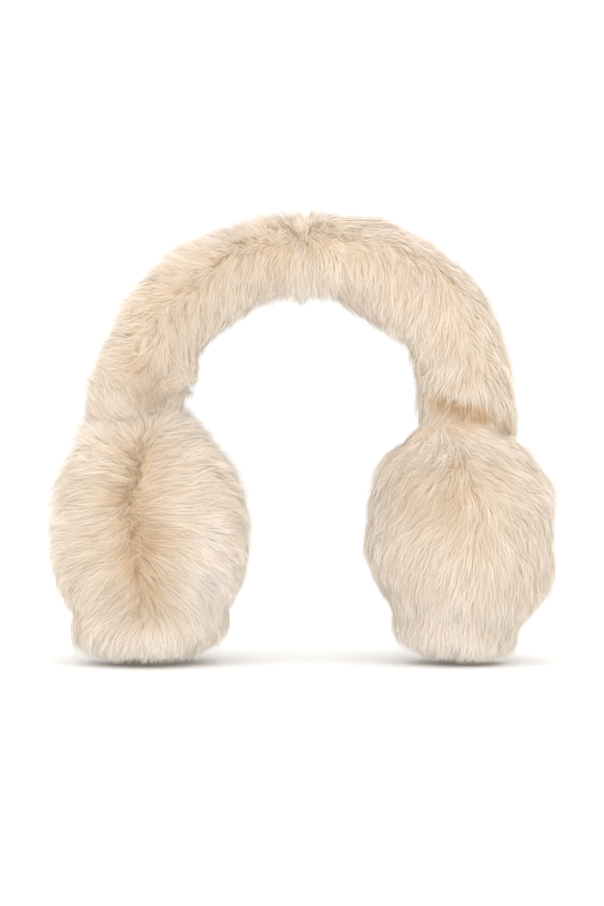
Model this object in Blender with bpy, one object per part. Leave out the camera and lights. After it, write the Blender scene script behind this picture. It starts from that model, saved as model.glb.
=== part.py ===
# Fur earmuffs, standing on their two muffs: a fur sleeve on a sprung band arches between two round muffs,
# and each muff is an outer and an inner fur panel sewn together round its rim.
# The deep fur has its outer form in locks, one for each cell of the pelt that they grow from.
# Metres, +Z up, the camera side is -Y, and the muffs' soles lie at Z = 0.

import math
import random

import bmesh
import bpy
from mathutils import Vector
from mathutils.bvhtree import BVHTree
from mathutils.geometry import intersect_ray_tri

# The band: its middle line is half an ellipse over the muffs' necks
ARCH_HALF_SPAN = 0.0825
ARCH_RISE = 0.0835
BAND_CROWN_THICKNESS = 0.0435
BAND_LEG_THICKNESS = 0.0500
BAND_DEPTH = 0.0600
BAND_PARTING_DIP = 0.0035

# The muffs, over the tips of their fur
MUFF_HEIGHT = 0.1195
LEFT_MUFF_WIDTH = 0.0985
RIGHT_MUFF_WIDTH = 0.0955
MUFF_DEPTH = 0.1060
MUFF_INSET = 0.0050
MUFF_PARTING_DIP = 0.0040

# The fur: how far a lock's tip stands off the pelt, and how far along the pelt it lies from the root
MUFF_LOCK_RISE = 0.0075
MUFF_LOCK_RUN = 0.0190
BAND_LOCK_RISE = 0.0060
BAND_LOCK_RUN = 0.0160

# A lock's shape, as shares: its width at the shoulders, how much of the rise and of the run they have,
# how much it lies crosswise, and how much the locks' sizes and places vary
LOCK_TAPER = 0.74
SHOULDER_RISE = 0.66
SHOULDER_RUN = 0.40
LOCK_SWAY = 0.45
LOCK_VARIATION = 0.35
CELL_JITTER = 0.20
CELL_STAGGER = 0.22

# Locks that run into each other are drawn in to this share, at most this many times over
DRAWING_IN = 0.88
SETTLING_ROUNDS = 24

# The lie of the fur levels out this near to the flat ends of a piece
LEVEL_REACH = 0.016

# How the fur lies: shares of a lock's run
BAND_DROOP = 0.35
MUFF_SWEEP = 0.75
MUFF_SPREAD = 0.75
MUFF_DROOP = 0.25

# Pieces that meet keep the seam gap, and locks keep the edge gap to the planes where a piece ends
SEAM_GAP = 0.0004
EDGE_GAP = 0.0005

# How many locks there are
MUFF_LOCKS_AROUND = 12
BAND_LOCKS_ALONG = 23
BAND_LOCKS_AROUND = 14

# A muff's sections from the sole up, as shares: height of the muff's height, width and depth of its own
# width and depth, and inset of the way in from the band's leg. The last section is the band's own leg.
MUFF_SECTIONS = (
    {"height": 0.000, "width": 0.54, "depth": 0.52, "inset": 1.0},
    {"height": 0.045, "width": 0.70, "depth": 0.66, "inset": 1.0},
    {"height": 0.110, "width": 0.79, "depth": 0.77, "inset": 1.0},
    {"height": 0.190, "width": 0.81, "depth": 0.84, "inset": 1.0},
    {"height": 0.265, "width": 0.82, "depth": 0.87, "inset": 0.8},
    {"height": 0.350, "width": 0.94, "depth": 0.95, "inset": 0.9},
    {"height": 0.450, "width": 0.99, "depth": 0.99, "inset": 1.0},
    {"height": 0.550, "width": 1.00, "depth": 1.00, "inset": 1.0},
    {"height": 0.650, "width": 0.97, "depth": 0.98, "inset": 1.0},
    {"height": 0.750, "width": 0.91, "depth": 0.92, "inset": 0.9},
    {"height": 0.850, "width": 0.82, "depth": 0.84, "inset": 0.7},
    {"height": 0.940, "width": 0.67, "depth": 0.72, "inset": 0.3},
)

# Where the band's fur parts, as shares: along from the left leg to the right one, and across from the
# arch's hollow side (0) to its outer side (1).
BAND_PARTING = (
    {"along": 0.00, "across": 0.50},
    {"along": 0.25, "across": 0.48},
    {"along": 0.50, "across": 0.68},
    {"along": 0.75, "across": 0.58},
    {"along": 1.00, "across": 0.54},
)
PARTING_HALF_ANGLE = math.radians(20)

CREAM_FUR = (0.79, 0.64, 0.46)
PALE_FUR = (0.80, 0.68, 0.52)
FUR_ROUGHNESS = 0.95


def fur_material(name, colour):
    """Long cream sheepskin fur, with no gloss."""
    material = bpy.data.materials.new(name)
    material.use_nodes = True
    shader = material.node_tree.nodes["Principled BSDF"]
    shader.inputs["Base Color"].default_value = (*colour, 1.0)
    shader.inputs["Roughness"].default_value = FUR_ROUGHNESS
    shader.inputs["Metallic"].default_value = 0.0
    return material


def read_table(rows, key, value, at):
    """The value column of rows at a place in the key column, with straight lines between rows."""
    for low, high in zip(rows, rows[1:]):
        if at <= high[key]:
            share = (at - low[key]) / (high[key] - low[key])
            return low[value] + (high[value] - low[value]) * share
    return rows[-1][value]


def loft(mesh, rings):
    """Joins equal rings of points into a closed body, and returns its side faces row by row."""
    loops = [[mesh.verts.new(point) for point in ring] for ring in rings]
    rows = []
    for lower, upper in zip(loops, loops[1:]):
        row = []
        for i in range(len(lower)):
            k = (i + 1) % len(lower)
            row.append(mesh.faces.new((lower[i], lower[k], upper[k], upper[i])))
        rows.append(row)
    mesh.faces.new(reversed(loops[0]))
    mesh.faces.new(loops[-1])
    bmesh.ops.recalc_face_normals(mesh, faces=mesh.faces)
    return rows


def stagger(row, dice):
    """How far, in cells, a corner of a row lies off its even place, so that the locks form no columns."""
    return CELL_STAGGER * (-1) ** row + dice.uniform(-CELL_JITTER, CELL_JITTER)


def runs_through(edge, face):
    """Whether an edge crosses a face that it has no corner of."""
    if set(edge.verts) & set(face.verts):
        return False
    start, end = (corner.co for corner in edge.verts)
    way = end - start
    hit = intersect_ray_tri(*(corner.co for corner in face.verts), way, start, True)
    return hit is not None and 0 <= (hit - start).dot(way) <= way.dot(way)


def tangled_locks(mesh, lock_of):
    """The locks that have a face which crosses another face."""
    mesh.faces.ensure_lookup_table()
    tree = BVHTree.FromBMesh(mesh)
    found = set()
    for i, k in tree.overlap(tree):
        first, second = mesh.faces[i], mesh.faces[k]
        if first is not second and any(runs_through(edge, second) for edge in first.edges):
            found.update({lock_of.get(first), lock_of.get(second)})
    return found - {None}


def grow_locks(mesh, cells, rise, run, lie, keep, dice):
    """Draws each cell of the pelt out into a lock of fur with shoulders and a tip.

    lie(place) is the way that the fur lies there, and keep(point) holds a point in its own piece's space.
    Locks that run into each other are drawn in until they are clear.
    """
    locks = []
    for cell in bmesh.ops.extrude_discrete_faces(mesh, faces=cells)["faces"]:
        root = cell.calc_center_median()
        off = cell.normal.copy()
        size = 1 + dice.uniform(-LOCK_VARIATION, LOCK_VARIATION)
        flow = lie(root)
        flow += off.cross(flow) * dice.uniform(-LOCK_SWAY, LOCK_SWAY)
        up = off * rise * size
        along = (flow - off * flow.dot(off)) * run * size
        shoulder = up * SHOULDER_RISE + along * SHOULDER_RUN
        paths = [(corner, root + (corner.co - root) * LOCK_TAPER, shoulder) for corner in cell.verts]
        tip = bmesh.ops.poke(mesh, faces=[cell])["verts"][0]
        paths.append((tip, root, up + along))
        locks.append({"paths": paths, "reach": 1.0})
    bmesh.ops.triangulate(mesh, faces=mesh.faces)
    lock_of = {
        face: i for i, lock in enumerate(locks) for corner, *_ in lock["paths"] for face in corner.link_faces
    }
    to_place = range(len(locks))
    for _ in range(SETTLING_ROUNDS):
        for i in to_place:
            for corner, start, move in locks[i]["paths"]:
                corner.co = keep(start + move * locks[i]["reach"])
            locks[i]["reach"] *= DRAWING_IN
        to_place = tangled_locks(mesh, lock_of)
        if not to_place:
            break


def add_piece(name, mesh, material):
    """One named object from a finished mesh."""
    data = bpy.data.meshes.new(name)
    mesh.to_mesh(data)
    mesh.free()
    data.materials.append(material)
    data.shade_smooth()
    data.set_sharp_from_angle(angle=math.radians(60))
    piece = bpy.data.objects.new(name, data)
    bpy.context.scene.collection.objects.link(piece)
    return piece


def band_ring(along, row, dice):
    """The pelt's outline across the band, at a share of the way from the left leg to the right one."""
    turn = math.pi * along
    centre = Vector((-ARCH_HALF_SPAN * math.cos(turn), 0, ARCH_RISE * math.sin(turn)))
    outward = Vector((-math.cos(turn) / ARCH_HALF_SPAN, 0, math.sin(turn) / ARCH_RISE)).normalized()
    centre.z += MUFF_HEIGHT + SEAM_GAP
    thinning = (BAND_LEG_THICKNESS - BAND_CROWN_THICKNESS) * math.sin(turn) ** 4
    half_thickness = (BAND_LEG_THICKNESS - thinning) / 2 - BAND_LOCK_RISE
    half_depth = BAND_DEPTH / 2 - BAND_LOCK_RISE
    parting = math.acos(2 * read_table(BAND_PARTING, "along", "across", along) - 1)
    step = 2 * math.pi / BAND_LOCKS_AROUND
    ring = []
    for i in range(BAND_LOCKS_AROUND):
        angle = step * (i + stagger(row, dice))
        # The fur parts at the front and at the back, on the same line
        off_parting = abs(math.pi - abs(angle - math.pi)) - parting
        dip = BAND_PARTING_DIP * math.exp(-((off_parting / PARTING_HALF_ANGLE) ** 2))
        across = outward * (half_thickness - dip) * math.cos(angle)
        ring.append(centre + across + Vector((0, -(half_depth - dip) * math.sin(angle), 0)))
    return ring


def band_lie(place):
    """The band's fur lies away from the parting, over the edges, and hangs a little."""
    from_middle = Vector((place.x, 0, place.z - MUFF_HEIGHT))
    turn = math.atan2(from_middle.z / ARCH_RISE, -from_middle.x / ARCH_HALF_SPAN)
    along = min(max(turn / math.pi, 0), 1)
    middle_line = Vector((-ARCH_HALF_SPAN * math.cos(turn), 0, ARCH_RISE * math.sin(turn)))
    across = 0.5 + (from_middle.length - middle_line.length) / BAND_LEG_THICKNESS
    side = 1 if across > read_table(BAND_PARTING, "along", "across", along) else -1
    level = min(from_middle.z / LEVEL_REACH, 1)
    away = Vector((from_middle.x, 0, from_middle.z * level)).normalized()
    return away * side - Vector((0, 0, BAND_DROOP * level))


def build_headband(material):
    """The fur sleeve of the band, from the neck of one muff to the neck of the other."""
    dice = random.Random(11)
    mesh = bmesh.new()
    base = MUFF_HEIGHT + SEAM_GAP
    rings = []
    for k in range(BAND_LOCKS_ALONG + 1):
        at_end = k in (0, BAND_LOCKS_ALONG)
        nudge = 0 if at_end else dice.uniform(-CELL_JITTER, CELL_JITTER)
        rings.append(band_ring((k + nudge) / BAND_LOCKS_ALONG, k, dice))
    for ring in (rings[0], rings[-1]):
        for point in ring:
            point.z = base

    def keep(point):
        return Vector((point.x, point.y, max(point.z, base + EDGE_GAP)))

    cells = [face for row in loft(mesh, rings) for face in row]
    grow_locks(mesh, cells, BAND_LOCK_RISE, BAND_LOCK_RUN, band_lie, keep, dice)
    return add_piece("headband", mesh, material)


def build_panel(name, hand, facing, muff_width, seed, material):
    """One fur panel of a muff.

    hand is -1 for the left muff and 1 for the right one, and facing is 1 for its outer panel and -1 for
    the inner one, which lies against the ear.
    """
    dice = random.Random(seed)
    mesh = bmesh.new()
    away = hand * facing
    sections = [
        {
            "height": row["height"] * MUFF_HEIGHT,
            "half_width": row["width"] * muff_width / 2,
            "half_depth": row["depth"] * MUFF_DEPTH / 2,
            "seam": hand * (ARCH_HALF_SPAN - row["inset"] * MUFF_INSET),
        }
        for row in MUFF_SECTIONS
    ]
    neck = {
        "height": MUFF_HEIGHT,
        "half_width": BAND_LEG_THICKNESS / 2 - BAND_LOCK_RISE + MUFF_LOCK_RISE,
        "half_depth": BAND_DEPTH / 2 - BAND_LOCK_RISE + MUFF_LOCK_RISE,
        "seam": hand * ARCH_HALF_SPAN,
    }
    sections.append(neck)
    rings = []
    for row, section in enumerate(sections):
        at_end = row in (0, len(sections) - 1)
        reach = 0 if at_end else CELL_JITTER * (sections[row + 1]["height"] - section["height"])
        ring = []
        for i in range(MUFF_LOCKS_AROUND + 1):
            at_seam = i in (0, MUFF_LOCKS_AROUND)
            nudge = 0 if at_seam else stagger(row, dice)
            angle = math.pi * ((i + nudge) / MUFF_LOCKS_AROUND - 0.5)
            dip = MUFF_PARTING_DIP if at_seam else 0
            bulge = 0 if at_seam else (section["half_width"] - MUFF_LOCK_RISE) * math.cos(angle)
            ring.append(
                Vector(
                    (
                        section["seam"] + away * (SEAM_GAP / 2 + bulge),
                        (section["half_depth"] - MUFF_LOCK_RISE - dip) * math.sin(angle),
                        section["height"] + dice.uniform(-reach, reach),
                    )
                )
            )
        rings.append(ring)

    def lie(place):
        # The fur lies away from the seam, up above the belly and down below it
        spread = 2 * place.z / MUFF_HEIGHT - 1
        level = min(place.z / LEVEL_REACH, (MUFF_HEIGHT - place.z) / LEVEL_REACH, 1) ** 2
        return Vector((MUFF_SWEEP * away, 0, (MUFF_SPREAD * spread - MUFF_DROOP) * level))

    def keep(point):
        return Vector((point.x, point.y, min(max(point.z, EDGE_GAP), MUFF_HEIGHT - EDGE_GAP)))

    # The last face of each row is the sewn side, which carries no fur
    cells = [face for row in loft(mesh, rings) for face in row[:MUFF_LOCKS_AROUND]]
    grow_locks(mesh, cells, MUFF_LOCK_RISE, MUFF_LOCK_RUN, lie, keep, dice)
    return add_piece(name, mesh, material)


def build_earmuffs():
    for old in list(bpy.data.objects):
        bpy.data.objects.remove(old)
    band_fur = fur_material("band_fur", CREAM_FUR)
    outer_fur = fur_material("outer_fur", CREAM_FUR)
    inner_fur = fur_material("inner_fur", PALE_FUR)
    build_headband(band_fur)
    build_panel("left_outer_panel", -1, 1, LEFT_MUFF_WIDTH, 21, outer_fur)
    build_panel("left_inner_panel", -1, -1, LEFT_MUFF_WIDTH, 22, inner_fur)
    build_panel("right_outer_panel", 1, 1, RIGHT_MUFF_WIDTH, 23, outer_fur)
    build_panel("right_inner_panel", 1, -1, RIGHT_MUFF_WIDTH, 24, inner_fur)


build_earmuffs()
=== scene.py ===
import math

import bmesh
import bpy
import numpy as np
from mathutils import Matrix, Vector
from mathutils.kdtree import KDTree


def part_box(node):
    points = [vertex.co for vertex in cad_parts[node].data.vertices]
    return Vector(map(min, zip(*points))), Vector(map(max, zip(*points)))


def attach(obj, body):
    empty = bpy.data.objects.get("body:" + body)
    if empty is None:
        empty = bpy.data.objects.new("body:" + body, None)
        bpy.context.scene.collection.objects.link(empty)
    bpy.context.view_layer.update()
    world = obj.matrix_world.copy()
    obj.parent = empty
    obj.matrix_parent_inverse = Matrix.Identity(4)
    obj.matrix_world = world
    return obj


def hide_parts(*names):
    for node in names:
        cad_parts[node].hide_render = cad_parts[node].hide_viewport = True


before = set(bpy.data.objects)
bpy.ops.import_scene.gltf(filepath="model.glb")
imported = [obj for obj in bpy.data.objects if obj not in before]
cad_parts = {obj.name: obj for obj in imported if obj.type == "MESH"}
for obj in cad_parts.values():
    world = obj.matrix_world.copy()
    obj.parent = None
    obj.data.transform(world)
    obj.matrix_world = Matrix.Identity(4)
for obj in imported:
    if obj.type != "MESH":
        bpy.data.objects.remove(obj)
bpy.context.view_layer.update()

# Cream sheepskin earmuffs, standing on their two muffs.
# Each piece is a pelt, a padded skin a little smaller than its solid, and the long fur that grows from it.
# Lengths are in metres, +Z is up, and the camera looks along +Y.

scene = bpy.context.scene
rootBody = "root"


# Colour and nodes

def hexColour(code):
    channels = [int(code[i:i + 2], 16) / 255 for i in (1, 3, 5)]
    return [c / 12.92 if c <= 0.04045 else ((c + 0.055) / 1.055) ** 2.4 for c in channels] + [1.0]


def addNode(tree, kind, settings=None, links=None, stops=()):
    node = tree.nodes.new(kind)
    for name, value in (settings or {}).items():
        if name in node.inputs:
            node.inputs[name].default_value = value
        else:
            setattr(node, name, value)
    for name, source in (links or {}).items():
        tree.links.new(source, node.inputs[name])
    for i, (place, code) in enumerate(stops):
        elements = node.color_ramp.elements
        element = elements[i] if i < len(elements) else elements.new(place)
        element.position = place
        element.color = hexColour(code)
    return node


def newMaterial(name, settings):
    material = bpy.data.materials.new(name)
    material.use_nodes = True
    tree = material.node_tree
    tree.nodes.clear()
    shader = addNode(tree, "ShaderNodeBsdfPrincipled", settings)
    addNode(tree, "ShaderNodeOutputMaterial", links={"Surface": shader.outputs["BSDF"]})
    return material, tree, shader


# Shearling: the long hair of a tanned cream sheepskin, honey at the root and almost white at the tip.
# Across the strand map runs a strand's tint, 0 warm, 0.78 palest and 1 grey.
# Up the map runs the way from the strand's root to its tip.
shearlingLook = {
    "root": ((0.0, "#AE8358"), (0.3, "#D7BC98"), (0.75, "#E6D8C5"), (1.0, "#D2C8BE")),
    "tip": ((0.0, "#C6A57E"), (0.3, "#DDCFBD"), (0.5, "#E1D7CC"), (0.78, "#F8F0E8"), (1.0, "#DBD4CE")),
    "paleFrom": 0.2,
    "paleTo": 0.9,
    "roughness": 0.75,
    "specular": 0.25,
    "sheen": 0.30,
    "sheenRoughness": 0.45,
}


def shearling():
    look = shearlingLook
    material, tree, shader = newMaterial(
        "shearlingHair",
        {
            "Roughness": look["roughness"],
            "Specular IOR Level": look["specular"],
            "Sheen Weight": look["sheen"],
            "Sheen Roughness": look["sheenRoughness"],
        },
    )
    strandMap = addNode(tree, "ShaderNodeUVMap", {"uv_map": "strand"})
    place = addNode(tree, "ShaderNodeSeparateXYZ", links={"Vector": strandMap.outputs["UV"]})
    rise = addNode(
        tree,
        "ShaderNodeMapRange",
        {"From Min": look["paleFrom"], "From Max": look["paleTo"]},
        {"Value": place.outputs["Y"]},
    )
    root = addNode(tree, "ShaderNodeValToRGB", links={"Fac": place.outputs["X"]}, stops=look["root"])
    tip = addNode(tree, "ShaderNodeValToRGB", links={"Fac": place.outputs["X"]}, stops=look["tip"])
    mix = addNode(
        tree,
        "ShaderNodeMixRGB",
        links={
            "Fac": rise.outputs["Result"],
            "Color1": root.outputs["Color"],
            "Color2": tip.outputs["Color"],
        },
    )
    tree.links.new(mix.outputs["Color"], shader.inputs["Base Color"])
    return material


# Underwool: the short, felted wool at the skin, matt and honey coloured, which shows between the long hairs
underwoolLook = {
    "colours": ((0.3, "#CDB28C"), (0.7, "#DCC8A8")),
    "tuft": 0.004,  # a tuft is about 4 mm across
    "detail": 4.0,
    "grain": 0.7,
    "bump": 0.6,
    "bumpDistance": 0.0015,
    "roughness": 0.95,
    "sheen": 0.3,
}


def underwool():
    look = underwoolLook
    settings = {"Roughness": look["roughness"], "Sheen Weight": look["sheen"]}
    material, tree, shader = newMaterial("underwool", settings)
    place = addNode(tree, "ShaderNodeTexCoord")
    tufts = addNode(
        tree,
        "ShaderNodeTexNoise",
        {"Scale": 1 / look["tuft"], "Detail": look["detail"], "Roughness": look["grain"]},
        {"Vector": place.outputs["Object"]},
    )
    colour = addNode(tree, "ShaderNodeValToRGB", links={"Fac": tufts.outputs["Fac"]}, stops=look["colours"])
    tree.links.new(colour.outputs["Color"], shader.inputs["Base Color"])
    bump = addNode(
        tree,
        "ShaderNodeBump",
        {"Strength": look["bump"], "Distance": look["bumpDistance"]},
        {"Height": tufts.outputs["Fac"]},
    )
    tree.links.new(bump.outputs["Normal"], shader.inputs["Normal"])
    return material


# Pelts

band = {
    "base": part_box("headband")[0].z,
    "halfDepth": 0.0205,
    "sides": 24,
    "steps": 72,
    "overlap": 0.004,  # how far each half's fur reaches past the crown's middle
    # shares of the way from the left neck to the right one, with the arch's radius and half its thickness
    "course": (
        (0.00, 0.0850, 0.0182),
        (0.08, 0.0840, 0.0186),
        (0.14, 0.0818, 0.0188),
        (0.20, 0.0846, 0.0168),
        (0.30, 0.0842, 0.0176),
        (0.36, 0.0832, 0.0152),
        (0.40, 0.0834, 0.0136),
        (0.45, 0.0850, 0.0134),
        (0.50, 0.0829, 0.0129),
        (0.53, 0.0845, 0.0137),
        (0.57, 0.0857, 0.0143),
        (0.61, 0.0854, 0.0177),
        (0.72, 0.0859, 0.0193),
        (0.78, 0.0883, 0.0180),
        (0.84, 0.0865, 0.0183),
        (0.92, 0.0837, 0.0187),
        (1.00, 0.0829, 0.0189),
    ),
    # and where the fur parts, across the band from its hollow side (0) to its outer side (1)
    "parting": ((0.0, 0.50), (0.15, 0.45), (0.3, 0.50), (0.5, 0.80), (0.7, 0.84), (0.85, 0.66), (1.0, 0.5)),
    # and how open that parting is, by the same shares
    "partingDepth": ((0.0, 1.0), (0.40, 0.9), (0.47, 0.4), (0.54, 0.3), (1.0, 0.25)),
}

muff = {
    "halfDepth": 0.0455,
    "sides": 48,
    "rows": 36,
    "seamGap": 0.00001,
    "smoothings": 3,
    # how near its seam and its sole the skin stays bare
    "bareSeam": 0.0006,
    "bareSole": 0.002,
    # the skin's height, and its two edges across the front
    "left": (
        (0.0085, -0.0985, -0.0610),
        (0.0110, -0.1060, -0.0520),
        (0.0150, -0.1100, -0.0448),
        (0.0225, -0.1098, -0.0408),
        (0.0300, -0.1090, -0.0430),
        (0.0395, -0.1175, -0.0375),
        (0.0515, -0.1190, -0.0328),
        (0.0635, -0.1205, -0.0332),
        (0.0755, -0.1188, -0.0342),
        (0.0875, -0.1170, -0.0376),
        (0.0995, -0.1098, -0.0445),
        (0.1085, -0.1032, -0.0540),
        (0.1150, -0.0993, -0.0603),
        (0.1195, -0.0978, -0.0680),
    ),
    "right": (
        (0.0085, 0.0665, 0.0978),
        (0.0110, 0.0590, 0.1018),
        (0.0150, 0.0515, 0.1040),
        (0.0225, 0.0497, 0.1028),
        (0.0300, 0.0507, 0.1100),
        (0.0395, 0.0443, 0.1182),
        (0.0515, 0.0385, 0.1200),
        (0.0635, 0.0370, 0.1188),
        (0.0755, 0.0394, 0.1185),
        (0.0875, 0.0410, 0.1188),
        (0.0995, 0.0453, 0.1088),
        (0.1085, 0.0560, 0.1013),
        (0.1150, 0.0590, 0.0958),
        (0.1195, 0.0598, 0.0983),
    ),
}
seamOf = {"left": -0.0775, "right": 0.0775}
handOf = {"left": -1, "right": 1}


def finishPelt(name, mesh, material, node):
    bmesh.ops.recalc_face_normals(mesh, faces=mesh.faces)
    # The operators number points and faces differently each run, so both are put in order by place
    verts = sorted(mesh.verts, key=lambda vert: tuple(vert.co))
    numberOf = {vert: i for i, vert in enumerate(verts)}
    rings = []
    for face in mesh.faces:
        ring = [numberOf[vert] for vert in face.verts]
        first = ring.index(min(ring))
        rings.append(ring[first:] + ring[:first])
    data = bpy.data.meshes.new(name)
    data.from_pydata([tuple(vert.co) for vert in verts], [], sorted(rings))
    for face in data.polygons:
        face.use_smooth = len(face.vertices) <= 4
    mesh.free()
    data.materials.append(material)
    piece = bpy.data.objects.new(name, data)
    scene.collection.objects.link(piece)
    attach(piece, rootBody)
    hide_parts(node)
    print("scene:", name, len(data.polygons), "faces")
    return piece


def bandPelt(material):
    # An oval ring is spun through half a turn, and the tube is then fitted to the band's course
    plainRadius = 2
    mesh = bmesh.new()
    ring = bmesh.ops.create_circle(mesh, segments=band["sides"], radius=1, cap_ends=False)["verts"]
    for vert in ring:
        vert.co = Vector((vert.co.x - plainRadius, vert.co.y * band["halfDepth"], 0))
    bmesh.ops.spin(
        mesh,
        geom=ring + mesh.edges[:],
        cent=(0, 0, 0),
        axis=(0, 1, 0),
        angle=math.pi,
        steps=band["steps"],
        use_merge=False,
    )
    bmesh.ops.holes_fill(mesh, edges=[edge for edge in mesh.edges if edge.is_boundary], sides=0)
    shares, radii, halves = zip(*band["course"])
    for vert in mesh.verts:
        turn = math.atan2(max(vert.co.z, 0), -vert.co.x)
        share = turn / math.pi
        outward = math.hypot(vert.co.x, vert.co.z) - plainRadius
        radius = np.interp(share, shares, radii) + outward * np.interp(share, shares, halves)
        vert.co = Vector((-math.cos(turn) * radius, vert.co.y, band["base"] + math.sin(turn) * radius))
    return finishPelt("bandPelt", mesh, material, "headband")


def smoothRows(table):
    # Rows between the table's, evened out so that no edge shows
    table = np.array(table)
    heights = np.linspace(table[0, 0], table[-1, 0], muff["rows"])
    edges = [np.interp(heights, table[:, 0], table[:, i]) for i in (1, 2)]
    rows = np.stack([heights] + edges, axis=1)
    for _ in range(muff["smoothings"]):
        rows[1:-1, 1:] = rows[:-2, 1:] * 0.25 + rows[1:-1, 1:] * 0.5 + rows[2:, 1:] * 0.25
    return rows


def muffPelt(side, facing, material):
    # An oval ring is extruded from row to row, and the ball is then cut along its seam
    rows = smoothRows(muff[side])
    widest = (rows[:, 2] - rows[:, 1]).max()
    mesh = bmesh.new()
    ring = bmesh.ops.create_circle(mesh, segments=muff["sides"], radius=1, cap_ends=False)["verts"]
    edges = mesh.edges[:]
    lastMiddle, lastHalf, lastDepth = 0, 1, 1
    for height, low, high in rows:
        if height > rows[0, 0]:
            grown = bmesh.ops.extrude_edge_only(mesh, edges=edges)["geom"]
            edges = [item for item in grown if isinstance(item, bmesh.types.BMEdge)]
            ring = [item for item in grown if isinstance(item, bmesh.types.BMVert)]
        middle, half = (low + high) / 2, (high - low) / 2
        depth = muff["halfDepth"] * 2 * half / widest
        for vert in ring:
            across = (vert.co.x - lastMiddle) / lastHalf
            vert.co = Vector((middle + across * half, vert.co.y * depth / lastDepth, height))
        lastMiddle, lastHalf, lastDepth = middle, half, depth
    bmesh.ops.holes_fill(mesh, edges=[edge for edge in mesh.edges if edge.is_boundary], sides=0)
    inward = handOf[side] * (-1 if facing == "inner" else 1)
    away = Vector((inward, 0, 0))
    cut = Vector((seamOf[side], 0, 0)) + away * muff["seamGap"]
    whole = mesh.verts[:] + mesh.edges[:] + mesh.faces[:]
    bmesh.ops.bisect_plane(mesh, geom=whole, plane_co=cut, plane_no=away, clear_inner=True)
    bmesh.ops.holes_fill(mesh, edges=[edge for edge in mesh.edges if edge.is_boundary], sides=0)
    return finishPelt(f"{side}{facing.capitalize()}Pelt", mesh, material, f"{side}_{facing}_panel")


# Fur

fur = {
    # a strand's shape: its width at each row but the tip, which is a point, and how far it turns about itself
    "rows": 3,
    "hairWidth": 0.00012,
    "widthRange": (0.7, 1.3),
    "taper": (0.85, 1.0),
    "twist": 1.0,
    "softness": 0.40,
    "wave": 0.0005,
    "waveTurns": (3, 7),
    "waveSpread": 0.5,
    # the strips of the strand map, and their margins as shares of a strip and of the map's height
    "tints": 64,
    "stripMargin": 0.2,
    "rootMargin": 0.02,
    # locks hold clumps, and clumps hold hairs
    "clumpSpacing": 0.0024,
    "lockSpacing": 0.013,
    "clumpPull": 0.25,
    "rimPull": 0.40,
    "lockPull": 0.04,
    "pullRange": (0.3, 1.0),
    "clumpCurve": 2.6,
    "lockCurve": 1.5,
    # how much locks, clumps and hairs differ in place, sway, lift, length and tint
    "lockStray": 0.0022,
    "lockSway": 0.12,
    "lockLift": 0.04,
    "lockLength": 0.05,
    "clumpStray": 0.0025,
    "clumpSway": 0.08,
    "clumpLift": 0.03,
    "clumpLength": 0.12,
    "clumpTint": 0.035,
    "hairSway": 0.32,
    "hairLift": 0.12,
    "hairLength": (0.66, 1.10),
    "hairTint": 0.05,
    # the share of clumps that stray from the coat, and by how much they are higher, longer and paler
    "strays": 0.08,
    "strayLift": 0.12,
    "strayLength": 0.12,
    "strayTint": 0.12,
    # how the fur settles, hangs where it has no lie, and is shorter at a parting, a rim and the sole
    "settleCurve": 1.6,
    "fallback": 0.70,
    "partTrim": 0.50,
    # painted shade, partly: how much warmer and darker fur at a parting is tinted, partly for its honey roots
    # and partly for the shade in the parting
    "partingWarmthAndShade": 0.20,
    "rimTrim": 0.30,
    "soleTrim": 0.75,
    "soleHeight": 0.025,
    # how much thicker it grows at a parting and at the neck, and where the neck stays bare
    "crowding": 4.0,
    "neckReach": 0.008,
    "bareNeck": 0.001,
    "flat": 0.9,
    # painted rim light: how much paler the fur is tinted where the pelt turns away from the camera
    "paintedRimLight": 0.12,
    "palest": 0.78,
    "floorGap": 0.0004,
    "floorRoom": (0.93, 1.0),
    "quickShare": 4,
}
bandFur = {
    "count": 58000,
    "length": 0.0155,
    "stand": math.radians(60),
    "settle": math.radians(-24),
    "droop": 0.25,
    "seed": 31,
}
muffFur = {
    "count": 53000,
    "length": 0.0185,
    "stand": math.radians(58),
    "settle": math.radians(-28),
    "droop": 0.25,
    "seed": 41,
}


def unit(vectors):
    return vectors / np.maximum(np.linalg.norm(vectors, axis=-1, keepdims=True), 1e-9)


class Skin:
    # The part of a pelt that grows hair, as loose triangles with their points' normals
    def __init__(self, pelt, keep, crowd):
        data = pelt.data
        data.calc_loop_triangles()
        corners = np.empty(len(data.loop_triangles) * 3, dtype=np.int32)
        data.loop_triangles.foreach_get("vertices", corners)
        places = np.empty(len(data.vertices) * 3, dtype=np.float32)
        data.vertices.foreach_get("co", places)
        corners = corners.reshape(-1, 3)
        self.places = places.reshape(-1, 3).astype(float)[corners]
        a, b, c = (self.places[:, i] for i in range(3))
        cross = np.cross(b - a, c - a)
        cross[~keep((a + b + c) / 3, unit(cross))] = 0
        self.share = np.linalg.norm(cross, axis=1) / 2
        self.area = self.share.sum()
        self.share *= 1 + crowd((a + b + c) / 3)
        normals = np.zeros((len(data.vertices), 3))
        for i in range(3):
            np.add.at(normals, corners[:, i], cross)
        self.normals = unit(normals)[corners]

    def scatter(self, count, dice):
        picks = dice.choice(len(self.share), size=count, p=self.share / self.share.sum())
        u, v = dice.random(count), dice.random(count)
        over = u + v > 1
        u[over], v[over] = 1 - u[over], 1 - v[over]
        shares = np.stack((1 - u - v, u, v), axis=1)[:, :, None]
        roots = (self.places[picks] * shares).sum(axis=1)
        return roots, unit((self.normals[picks] * shares).sum(axis=1))


def nearestCentre(points, centres):
    tree = KDTree(len(centres))
    for i, centre in enumerate(centres):
        tree.insert(centre, i)
    tree.balance()
    return np.array([tree.find(point)[1] for point in points])


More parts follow.
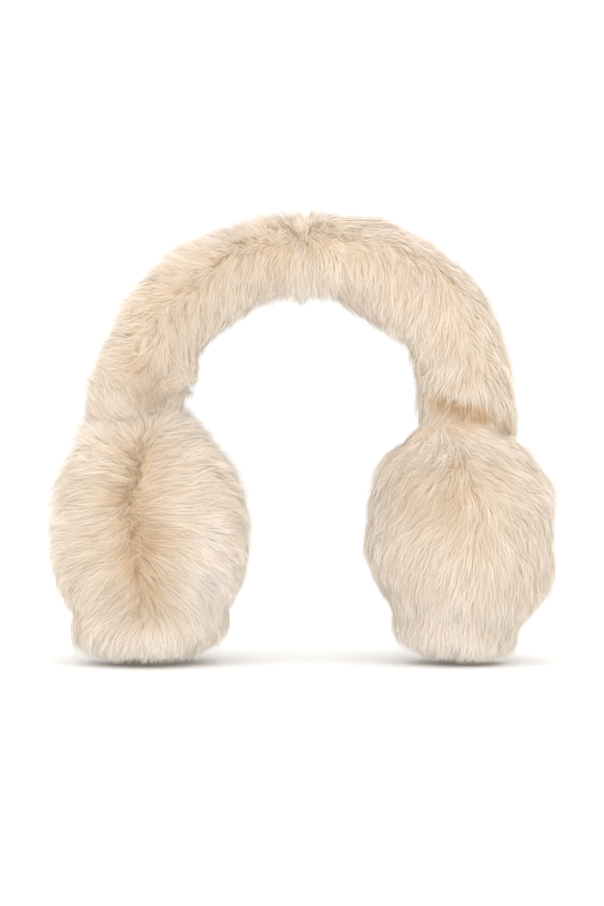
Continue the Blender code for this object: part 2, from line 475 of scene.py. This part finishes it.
def combed(roots, normals, lie, length, style, sway, lift, stray):
    # The path of each hair: it stands up at the root and settles towards the lie of the fur
    flow = lie(roots + stray)
    reach = np.minimum(np.linalg.norm(flow, axis=1), 1)
    outward = (flow * normals).sum(axis=1)
    flow -= normals * outward[:, None]
    sideways = np.cross(normals, flow)
    flow = flow * np.cos(sway)[:, None] + sideways * np.sin(sway)[:, None]
    down = np.array([0, 0, -1]) + normals * normals[:, 2:]
    flow += down * np.maximum(fur["fallback"] - np.linalg.norm(flow, axis=1, keepdims=True), 0)
    strength = np.minimum(np.linalg.norm(flow, axis=1, keepdims=True), 1)
    length = length * (1 - fur["partTrim"] * (1 - reach)) * (1 - fur["rimTrim"] * np.maximum(outward, 0) ** 2)
    length = length * np.interp(roots[:, 2], (0.0, fur["soleHeight"]), (fur["soleTrim"], 1.0))
    steps = fur["rows"] - 1
    path = [roots]
    for k in range(steps):
        share = (k + 0.5) / steps
        angle = style["settle"] + (style["stand"] - style["settle"]) * (1 - share) ** fur["settleCurve"]
        rise = np.sin(angle + lift)[:, None]
        way = unit(flow * np.cos(angle) + normals * (rise + (1 - strength)) + down * style["droop"] * share)
        path.append(path[-1] + way * (length / steps)[:, None])
    return np.stack(path, axis=1)


def growFur(name, skin, style, lie, tint, material, seed):
    dice = np.random.default_rng(seed)
    count = style["count"] // 1
    roots, normals = skin.scatter(count, dice)

    # Locks hold clumps, and clumps hold hairs
    lockCount = int(skin.area / fur["lockSpacing"] ** 2)
    clumpCount = int(skin.area / fur["clumpSpacing"] ** 2)
    clumpRoots, clumpNormals = skin.scatter(clumpCount, dice)
    lockRoots, lockNormals = skin.scatter(lockCount, dice)
    lockOfClump = nearestCentre(clumpRoots, lockRoots)
    clumpOf = nearestCentre(roots, clumpRoots)
    strays = dice.random(clumpCount) < fur["strays"]
    lockStray = dice.normal(0, fur["lockStray"], (lockCount, 3))
    clumpStray = lockStray[lockOfClump] + dice.normal(0, fur["clumpStray"], (clumpCount, 3))
    lockSway = dice.normal(0, fur["lockSway"], lockCount)
    lockLift = dice.normal(0, fur["lockLift"], lockCount)
    lockLength = dice.normal(1, fur["lockLength"], lockCount)
    clumpSway = lockSway[lockOfClump] + dice.normal(0, fur["clumpSway"], clumpCount)
    clumpLift = lockLift[lockOfClump] + dice.normal(0, fur["clumpLift"], clumpCount)
    clumpLift += fur["strayLift"] * strays
    clumpLength = lockLength[lockOfClump] * dice.normal(1, fur["clumpLength"], clumpCount)
    clumpLength += fur["strayLength"] * strays

    full = style["length"]
    lockPath = combed(lockRoots, lockNormals, lie, full * lockLength, style, lockSway, lockLift, lockStray)
    clumpPath = combed(
        clumpRoots, clumpNormals, lie, full * clumpLength, style, clumpSway, clumpLift, clumpStray
    )
    length = full * clumpLength[clumpOf] * dice.uniform(*fur["hairLength"], count)
    for x, z, reach, cut in creases:
        length *= 1 - cut * np.exp(-(((roots[:, 0] - x) ** 2 + (roots[:, 2] - z) ** 2) / reach ** 2))
    sway = clumpSway[clumpOf] + dice.normal(0, fur["hairSway"], count)
    lift = clumpLift[clumpOf] + dice.normal(0, fur["hairLift"], count)
    path = combed(roots, normals, lie, length, style, sway, lift, clumpStray[clumpOf])

    share = np.linspace(0, 1, fur["rows"])[None, :, None]
    pull = dice.uniform(*fur["pullRange"], count)[:, None, None]
    rim = ((1 - np.abs(normals[:, 1])) ** 2)[:, None, None]
    clumpPull = fur["clumpPull"] + fur["rimPull"] * rim
    path += (clumpPath[clumpOf] - path) * clumpPull * pull * share ** fur["clumpCurve"]
    path += (lockPath[lockOfClump[clumpOf]] - path) * fur["lockPull"] * pull * share ** fur["lockCurve"]
    bend = dice.uniform(0, 2 * np.pi, clumpCount)[clumpOf] + dice.normal(0, fur["waveSpread"], count)
    turns = dice.uniform(*fur["waveTurns"], count)
    waves = np.sin(bend[:, None] + share[..., 0] * turns[:, None])
    along = unit(np.gradient(path, axis=1))
    across = unit(np.cross(along, normals[:, None, :]))
    path += across * (waves * fur["wave"])[..., None] * share
    # hair that would reach through the floor ends on it
    depth = roots[:, 2] - path[:, :, 2].min(axis=1)
    room = (roots[:, 2] - fur["floorGap"]) * dice.uniform(*fur["floorRoom"], count)
    squeeze = np.where(depth > 0, np.minimum(room / np.maximum(depth, 1e-6), 1), 1)
    path[:, :, 2] = roots[:, 2:] + (path[:, :, 2] - roots[:, 2:]) * squeeze[:, None]

    tints = tint(roots, normals) + dice.normal(0, fur["clumpTint"], clumpCount)[clumpOf]
    tints += dice.normal(0, fur["hairTint"], count)
    tints += fur["strayTint"] * strays[clumpOf]
    # painted shade, partly: a parting's fur gets a warmer, darker tint, for its honey roots and for the shade
    # in the parting
    tints -= fur["partingWarmthAndShade"] * (1 - np.minimum(np.linalg.norm(lie(roots), axis=1), 1))
    piece = addStrands(name, path, normals, tints, material, dice)


def addStrands(name, path, normals, tints, material, dice):
    # Flat ribbons about 0.12 mm wide, so that one stands for a few real hairs of 0.03 mm
    count, rows = len(path), fur["rows"]
    along = unit(np.gradient(path, axis=1))
    first = unit(np.cross(along, normals[:, None, :]))
    second = np.cross(along, first)
    twist = dice.uniform(-fur["twist"], fur["twist"], count)[:, None]
    width = fur["hairWidth"] * dice.uniform(*fur["widthRange"], count)
    points = []
    for k in range(rows - 1):
        half = (width * fur["taper"][k] / 2)[:, None]
        arm = (first[:, k] * np.cos(twist) + second[:, k] * np.sin(twist)) * half
        points += [path[:, k] + arm, path[:, k] - arm]
    points.append(path[:, -1])
    points = np.stack(points, axis=1)
    perStrand = points.shape[1]

    # One strand's faces, as corners of its own points
    shape = [(2 * k + 1, 2 * k, 2 * k + 2, 2 * k + 3) for k in range(rows - 2)]
    shape.append((perStrand - 2, perStrand - 3, perStrand - 1))
    corners = np.array([corner for face in shape for corner in face])
    starts = np.cumsum([0] + [len(face) for face in shape[:-1]])

    data = bpy.data.meshes.new(name)
    data.vertices.add(count * perStrand)
    data.vertices.foreach_set("co", points.astype(np.float32).ravel())
    data.loops.add(count * len(corners))
    loops = (np.arange(count)[:, None] * perStrand + corners[None]).ravel()
    data.loops.foreach_set("vertex_index", loops.astype(np.int32))
    data.polygons.add(count * len(shape))
    faceStarts = (np.arange(count)[:, None] * len(corners) + starts[None]).ravel()
    data.polygons.foreach_set("loop_start", faceStarts.astype(np.int32))
    data.update(calc_edges=True)
    data.polygons.foreach_set("use_smooth", np.ones(count * len(shape), dtype=bool))

    # Hair shines as the coat it lies in, so its normals lean towards the pelt's
    own = np.empty(count * perStrand * 3, dtype=np.float32)
    data.vertex_normals.foreach_get("vector", own)
    own = own.reshape(count, perStrand, 3)
    facing = np.sign((own * normals[:, None]).sum(axis=2, keepdims=True))
    soft = unit(own * facing * (1 - fur["softness"]) + normals[:, None] * fur["softness"])
    data.normals_split_custom_set_from_vertices(soft.reshape(-1, 3))

    # Hairs of one tint share one strip of the map, so where they overlap they agree
    strip = 1 / fur["tints"]
    lowEdge = np.floor(np.clip(tints, 0, 0.999) / strip) * strip
    tipward = (corners // 2) / (rows - 1)
    sideOf = np.where(corners == perStrand - 1, 0.5, corners % 2)
    margin, rootMargin = fur["stripMargin"], fur["rootMargin"]
    across = lowEdge[:, None] + strip * (margin + (1 - 2 * margin) * sideOf[None])
    upward = rootMargin + (1 - 2 * rootMargin) * tipward
    uv = np.stack((across, np.broadcast_to(upward, across.shape)), axis=2)
    for mapName in ("OFBake", "strand"):
        layer = data.uv_layers.new(name=mapName)
        layer.uv.foreach_set("vector", uv.astype(np.float32).ravel())
    data.materials.append(material)
    piece = bpy.data.objects.new(name, data)
    scene.collection.objects.link(piece)
    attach(piece, rootBody)
    print("scene:", name, count, "strands,", round(100 * float((facing > 0).mean())), "% face out")
    return piece


# How the fur lies, and how pale it is

# The band's fur turns out on both sides of its parting, and along the band beside it.
# The left muff's fan reaches up it, and a tuft stands straight out over the crease at the right neck.
bandComb = {
    "partingReach": 0.006,
    "sideReach": 0.004,
    "partingFlat": 0.85,
    # how soon the fur along the parting lies along the band, left and right of the crown's edge
    "crownEdge": -0.012,
    "leftBlend": 0.02,
    "rightBlend": 0.005,
    # how far the outer side's fur leans towards its muff, and how much more it does towards the right one
    "lean": 0.1,
    "rightLean": 1.7,
    "leanSpan": 0.05,
    "inward": 0.6,
    "hang": 0.8,
    "fanTop": 0.030,
    "fanSpan": 0.020,
    # the tuft's place across and up, its reach, and how straight it stands
    "tuft": (0.0840, 0.1365, 0.0090),
    "tuftStand": 0.9,
}


def bandLie(roots):
    x, z = roots[:, 0], np.maximum(roots[:, 2] - band["base"], 0)
    share = np.arctan2(z, -x) / np.pi
    radius = np.hypot(x, z)
    radial = np.stack((x / radius, np.zeros_like(x), z / radius), axis=1)
    toMuff = unit(np.stack((x * z / radius, np.zeros_like(x), -x * x / radius), axis=1))
    shares, radii, halves = zip(*band["course"])
    half = np.interp(share, shares, halves)
    across = 0.5 + (radius - np.interp(share, shares, radii)) / (2 * half)
    off = (across - np.interp(share, *zip(*band["parting"]))) * 2 * half
    parted = np.exp(-np.abs(off) / bandComb["partingReach"])[:, None]
    blend = np.where(x > bandComb["crownEdge"], bandComb["rightBlend"], bandComb["leftBlend"])
    near = parted * (np.abs(x) / (np.abs(x) + blend))[:, None]
    parted *= np.interp(share, *zip(*band["partingDepth"]))[:, None]
    side = np.tanh(off / bandComb["sideReach"])[:, None]
    lean = bandComb["lean"] + bandComb["rightLean"] * np.clip(x / bandComb["leanSpan"], 0, 1)[:, None]
    outer = unit(radial + toMuff * lean)
    inner = unit(-radial * bandComb["inward"] + np.array([0, 0, -bandComb["hang"]]))
    apart = np.where(side > 0, outer * side, inner * -side)
    flow = unit(apart * (1 - near) + toMuff * near) * (1 - bandComb["partingFlat"] * parted)
    tuftX, tuftZ, tuftReach = bandComb["tuft"]
    tuft = np.exp(-((x - tuftX) ** 2 + (roots[:, 2] - tuftZ) ** 2) / tuftReach ** 2)
    flow *= 1 - bandComb["tuftStand"] * tuft[:, None]
    # the left muff's fan runs on up the band for a way
    fan = np.where(x < 0, np.clip((bandComb["fanTop"] - z) / bandComb["fanSpan"], 0, 1), 0)[:, None]
    fanned = leftLie(roots)
    strength = np.linalg.norm(flow, axis=1, keepdims=True) * (1 - fan)
    strength += np.linalg.norm(fanned, axis=1, keepdims=True) * fan
    return unit(flow * (1 - fan) + fanned * fan) * strength


# The left muff's fur fans out on both sides of an upright parting
leftFan = {
    # a height, the parting's place across there, and the fan's angle in degrees
    "course": (
        (0.010, -0.0735, -75),
        (0.030, -0.0760, -48),
        (0.050, -0.0780, -22),
        (0.065, -0.0805, 0),
        (0.080, -0.0845, 13),
        (0.095, -0.0815, 31),
        (0.110, -0.0775, 51),
        (0.126, -0.0763, 65),
    ),
    # a height, and how softly the fur turns over from one side to the other there
    "soft": ((0.09, 0.0035), (0.11, 0.0045)),
    "leastRise": 0.7,
}


def leftLie(roots):
    heights, partings, angles = zip(*leftFan["course"])
    soft = np.interp(roots[:, 2], *zip(*leftFan["soft"]))
    side = np.tanh((roots[:, 0] - np.interp(roots[:, 2], heights, partings)) / soft)
    angle = np.radians(np.interp(roots[:, 2], heights, angles))
    rise = np.maximum(np.abs(side), leftFan["leastRise"]) * np.sin(angle)
    return np.stack((side * np.cos(angle), np.zeros_like(side), rise), axis=1)


# The right muff's fur turns out from a short slanting line, and hangs a little
rightWhorl = {
    "from": (0.0650, 0.0, 0.1200),
    "to": (0.0850, 0.0, 0.0780),
    "hang": 0.50,
    "calm": 0.012,
    "strength": 0.95,
    # above this height and left of this place, the fur runs straight down from the band
    "neckHeight": 0.100,
    "neckRise": 0.012,
    "neckEdge": 0.074,
    "neckWidth": 0.006,
    "neckWay": (-0.15, 0, -1),
}


def rightLie(roots):
    start, end = np.array(rightWhorl["from"]), np.array(rightWhorl["to"])
    places = roots * np.array([1, 0, 1])
    along = np.clip((places - start) @ (end - start) / ((end - start) @ (end - start)), 0, 1)
    away = places - start - along[:, None] * (end - start)
    distance = np.linalg.norm(away, axis=1, keepdims=True)
    grip = np.tanh(distance / rightWhorl["calm"])
    hang = np.array([0, 0, -rightWhorl["hang"]])
    flow = unit(unit(away) * grip + hang * (2 - grip)) * rightWhorl["strength"]
    high = np.clip((roots[:, 2] - rightWhorl["neckHeight"]) / rightWhorl["neckRise"], 0, 1)
    inside = np.clip((rightWhorl["neckEdge"] - roots[:, 0]) / rightWhorl["neckWidth"], 0, 1)
    neck = (high * inside)[:, None]
    return flow * (1 - neck) + np.array(rightWhorl["neckWay"]) * neck


# Creases, where the fur is short: places across and up, a reach, and the share that is missing
creases = (
    (0.0790, 0.1205, 0.0065, 0.62),
    (0.0900, 0.1175, 0.0065, 0.62),
    (0.0715, 0.1360, 0.0035, 0.55),
    (0.0780, 0.1300, 0.0050, 0.65),
    (0.0870, 0.1255, 0.0055, 0.60),
    (0.0965, 0.1235, 0.0045, 0.50),
)


# Each part's tint, and its warmer or paler patches, among them painted shade and painted light: places across
# and up, a reach, and the tint's change
tones = {
    "band": (
        0.53,
        (
            (-0.062, 0.185, 0.010, -0.10),
            (-0.079, 0.145, 0.009, -0.14),
            (-0.012, 0.207, 0.008, -0.08),
            # painted shade: the crease where the band meets the right muff is tinted darker and warmer on the
            # band's side
            (0.0712, 0.1345, 0.0040, -0.48),
            (0.0780, 0.1290, 0.0060, -0.46),
            (0.0870, 0.1250, 0.0060, -0.44),
            (0.0965, 0.1225, 0.0040, -0.35),
            (0.0830, 0.1350, 0.0060, 0.22),
            # painted shade, partly: the left neck, where the band meets the left muff, is tinted warmer and
            # darker, for the parting's honey roots and for the shade at the joint
            (-0.0765, 0.1300, 0.0080, -0.18),
        ),
    ),
    "left": (
        0.50,
        (
            # painted shade, partly: the left muff's parting is tinted warmer and darker, for its honey roots
            # and for the shade in the valley
            (-0.078, 0.100, 0.008, -0.14),
            (-0.080, 0.082, 0.009, -0.20),
            (-0.076, 0.064, 0.010, -0.26),
            (-0.075, 0.046, 0.010, -0.26),
            (-0.0755, 0.032, 0.008, -0.20),
            (-0.050, 0.050, 0.020, 0.12),
            # painted light: the lowest fur, by the left sole, is tinted paler, as though lit from below
            (-0.0775, 0.004, 0.028, 0.32),
        ),
    ),
    "right": (
        0.52,
        (
            (0.073, 0.085, 0.014, -0.18),
            (0.060, 0.090, 0.012, -0.12),
            # painted shade: the same crease at the right neck, tinted darker and warmer on the muff's side
            (0.079, 0.1225, 0.006, -0.42),
            (0.090, 0.1190, 0.006, -0.38),
            # painted light: the lowest fur, by the right sole, is tinted paler, as though lit from below
            (0.077, 0.004, 0.030, 0.32),
        ),
    ),
}


# Grey patches, given in the same way: the left muff's inner side is a little grey
greys = {
    "band": (),
    "left": (
        (-0.052, 0.066, 0.007, 0.30),
        (-0.053, 0.045, 0.009, 0.32),
        (-0.051, 0.031, 0.007, 0.26),
    ),
    "right": (),
}


def patchShift(roots, patches):
    total = np.zeros(len(roots))
    for x, z, reach, shift in patches:
        total += shift * np.exp(-(((roots[:, 0] - x) ** 2 + (roots[:, 2] - z) ** 2) / reach ** 2))
    return total


def tintFrom(part):
    start, patches = tones[part]

    def tint(roots, normals):
        # the fur is painted paler towards the sides, where the pelt turns away from the camera: a painted rim
        # light
        sides = fur["paintedRimLight"] * (1 - np.abs(normals[:, 1])) ** 2
        total = np.minimum(start + patchShift(roots, patches) + sides, fur["palest"])
        return total + patchShift(roots, greys[part])

    return tint


# The studio

studio = {
    "distance": 1.07,
    "lens": 85,
    "sensor": 36,
    "aimX": -0.00025,
    "aimZ": 0.105,
    "floorSize": 6.0,
    "floorColour": "#FCFCFB",
    "floorRoughness": 0.9,
    "world": "#FFFFFF",
    "worldStrength": 1.04,
    "boxAim": (0, 0, 0.1),
    # each soft box's place, size and power
    "boxes": {
        "frontBox": ((0.0, -1.3, 0.18), 0.35, 7.0),
        "topBox": ((0.0, -0.5, 1.2), 1.2, 5.5),
        "leftBox": ((-1.2, -0.7, 0.3), 1.0, 3.4),
        "rightBox": ((1.2, -0.7, 0.3), 1.0, 3.4),
    },
}


def buildStudio():
    camera = bpy.data.objects.new("camera", bpy.data.cameras.new("camera"))
    camera.data.lens = studio["lens"]
    camera.data.sensor_width = studio["sensor"]
    camera.location = (studio["aimX"], -studio["distance"], studio["aimZ"])
    camera.rotation_euler = (math.radians(90), 0, 0)
    scene.collection.objects.link(camera)
    scene.camera = camera

    floor = bpy.data.objects.new("floor", bpy.data.meshes.new("floor"))
    mesh = bmesh.new()
    bmesh.ops.create_grid(mesh, x_segments=1, y_segments=1, size=studio["floorSize"] / 2)
    mesh.to_mesh(floor.data)
    mesh.free()
    # Photographer's paper roll: matt and nearly white, so that the floor shows only where a shadow falls
    floorLook = {"Base Color": hexColour(studio["floorColour"]), "Roughness": studio["floorRoughness"]}
    floor.data.materials.append(newMaterial("paperFloor", floorLook)[0])
    scene.collection.objects.link(floor)

    world = bpy.data.worlds.new("softRoom")
    world.use_nodes = True
    background = world.node_tree.nodes["Background"]
    background.inputs["Color"].default_value = hexColour(studio["world"])
    background.inputs["Strength"].default_value = studio["worldStrength"]
    scene.world = world

    for name, (place, size, power) in studio["boxes"].items():
        light = bpy.data.objects.new(name, bpy.data.lights.new(name, "AREA"))
        light.data.size = size
        light.data.energy = power
        light.location = place
        aim = Vector(studio["boxAim"]) - Vector(place)
        light.rotation_euler = aim.to_track_quat("-Z", "Y").to_euler()
        scene.collection.objects.link(light)
    scene.view_settings.view_transform = "Standard"
    print("scene: studio built")


def crowdWhere(lie, neck):
    # Fur is thicker where it parts and where the band meets a muff, so that no skin shows
    def crowd(places):
        parted = 1 - np.minimum(np.linalg.norm(lie(places), axis=1), 1)
        return fur["crowding"] * (parted + np.exp(-(((places[:, 2] - neck) / fur["neckReach"]) ** 2)))

    return crowd


def buildBand(hair, wool):
    pelt = bandPelt(wool)

    def half(hand):
        # each half of the band is a piece of its own, because one can't hold enough hair
        def keep(places, normals):
            atNeck = (places[:, 2] < band["base"] + fur["bareNeck"]) & (normals[:, 2] < -fur["flat"])
            return (places[:, 0] * hand > -band["overlap"]) & ~atNeck

        return keep

    for hand, name in ((-1, "bandLeftFur"), (1, "bandRightFur")):
        skin = Skin(pelt, half(hand), crowdWhere(bandLie, band["base"]))
        seed = bandFur["seed"] + hand
        growFur(name, skin, bandFur, bandLie, tintFrom("band"), hair, seed)


def buildMuff(side, lie, hair, wool):
    for facing in ("outer", "inner"):
        pelt = muffPelt(side, facing, wool)

        def onFur(places, normals):
            x, z = places[:, 0], places[:, 2]
            atSeam = (np.abs(x - seamOf[side]) < muff["bareSeam"]) & (np.abs(normals[:, 0]) > fur["flat"])
            atSole = (z < muff[side][0][0] + muff["bareSole"]) & (normals[:, 2] < -fur["flat"])
            atNeck = (z > muff[side][-1][0] - fur["bareNeck"]) & (normals[:, 2] > fur["flat"])
            return ~(atSeam | atSole | atNeck)

        skin = Skin(pelt, onFur, crowdWhere(lie, band["base"]))
        seed = muffFur["seed"] + 2 * (side == "right") + (facing == "inner")
        name = f"{side}{facing.capitalize()}Fur"
        growFur(name, skin, muffFur, lie, tintFrom(side), hair, seed)


buildStudio()
hair = shearling()
wool = underwool()
buildBand(hair, wool)
buildMuff("left", leftLie, hair, wool)
buildMuff("right", rightLie, hair, wool)

print("scene: everything built")
